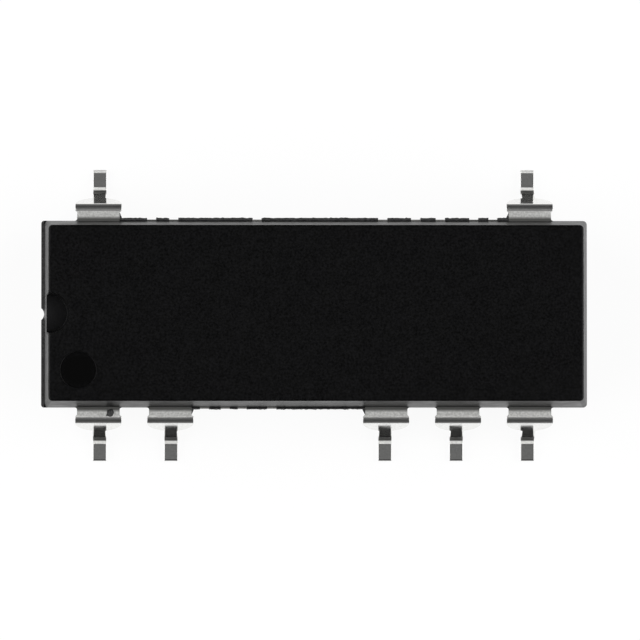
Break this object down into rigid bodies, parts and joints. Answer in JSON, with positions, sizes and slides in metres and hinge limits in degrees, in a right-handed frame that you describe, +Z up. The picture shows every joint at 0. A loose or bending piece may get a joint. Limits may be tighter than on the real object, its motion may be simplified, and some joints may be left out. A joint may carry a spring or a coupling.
{
  "type": "dc-dc converter",
  "caption": "Low black moulded block with gull-wing leads along both long sides, an end notch and a round recess beside the first lead; isolated power converter for a circuit board.",
  "frame": {"origin": "centre of the soldering plane, midway between the two rows of feet and the two ends", "axes": "+X along the body from the notched end to the plain end, +Y towards the row with two leads, +Z up, away from the board"},
  "size_m": [0.0192, 0.0104, 0.0039],
  "materials": {
    "moulding_resin": "fine moulded texture",
    "tinned_lead": "satin tin plate",
    "frame_copper": "rolled copper alloy",
    "silicon": "polished, sawn edges",
    "ferrite": "tumbled",
    "adhesive": "cured epoxy",
    "enamelled_wire": "clear enamel over copper",
    "bond_gold": "drawn wire"
  },
  "bodies": {
    "root": {"housing": "moulding_resin", "lead_1": "tinned_lead", "lead_2": "tinned_lead", "lead_5": "tinned_lead", "lead_6": "tinned_lead", "lead_7": "tinned_lead", "lead_8": "tinned_lead", "lead_14": "tinned_lead", "core_pad": "frame_copper", "primary_post_1": "frame_copper", "primary_post_2": "frame_copper", "tap_post": "frame_copper", "secondary_post_1": "frame_copper", "secondary_post_2": "frame_copper", "driver_die": "silicon", "rectifier_die_1": "silicon", "rectifier_die_2": "silicon", "die_attach": "adhesive", "toroid_core": "ferrite", "core_adhesive": "adhesive", "primary_winding": "enamelled_wire", "secondary_winding_1": "enamelled_wire", "secondary_winding_2": "enamelled_wire", "bond_wires": "bond_gold"}
  },
  "joints": []
}
